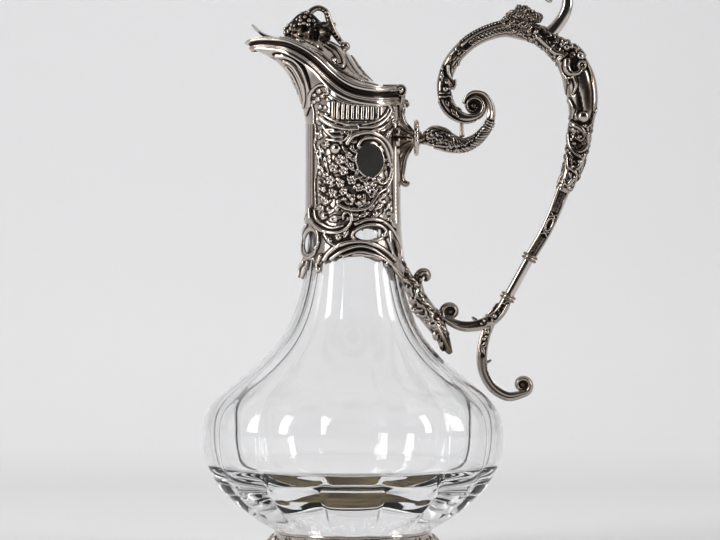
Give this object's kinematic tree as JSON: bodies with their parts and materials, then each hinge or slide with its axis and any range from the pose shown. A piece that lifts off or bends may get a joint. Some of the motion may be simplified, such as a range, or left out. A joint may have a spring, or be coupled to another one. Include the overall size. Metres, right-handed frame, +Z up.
{
  "type": "claret jug",
  "caption": "Lobed glass claret jug with a chased metal collar, swept spout, hinged domed lid with a grape finial, cast scroll handle and spreading foot",
  "frame": {"origin": "Centre of the foot's underside, on the axis of the flask", "axes": "+Z up along the axis of the flask; the spout points to -X and the handle to +X; +Y is across the jug, along the hinge pin"},
  "size_m": [0.2129, 0.1638, 0.3134],
  "materials": {
    "glass": "clear blown glass, polished",
    "silver": "chased silver, dark tarnish left in the hollows",
    "plaster": "matt bedding plaster"
  },
  "bodies": {
    "jug": {"glass_flask": "glass", "punt_plaster": "plaster", "neck_plaster": "plaster", "foot_plaster": "plaster", "neck_sleeve": "silver", "apron": "silver", "spout": "silver", "spout_medallion": "silver", "mouth_moulding": "silver", "foot_shell": "silver", "foot_rim_wire": "silver", "glass_bezel": "silver", "hinge_bracket": "silver", "hinge_pin": "silver", "upper_handle_socket": "silver", "lower_handle_socket": "silver", "socket_pin": "silver", "handle_upper_scroll": "silver", "handle_bow": "silver", "handle_shoulder": "silver", "handle_shaft": "silver", "handle_stem": "silver", "handle_lower_scroll": "silver", "knop_upper": "silver", "knop_lower": "silver", "lion_mask": "silver", "thumb_scroll": "silver"},
    "lid": {"lid_shell": "silver", "lid_rim": "silver", "lid_tongue": "silver", "lid_hinge_leaf": "silver", "grape_bunch": "silver", "finial_nut": "silver", "vine_leaf_near": "silver", "vine_leaf_far": "silver", "vine_loop": "silver"}
  },
  "joints": [
    {"name": "lid_hinge", "type": "hinge", "parent": "jug", "child": "lid", "pos_m": [0.0256, 0, 0.2543], "axis": [0, 1, 0], "range_deg": [0, 80]}
  ]
}
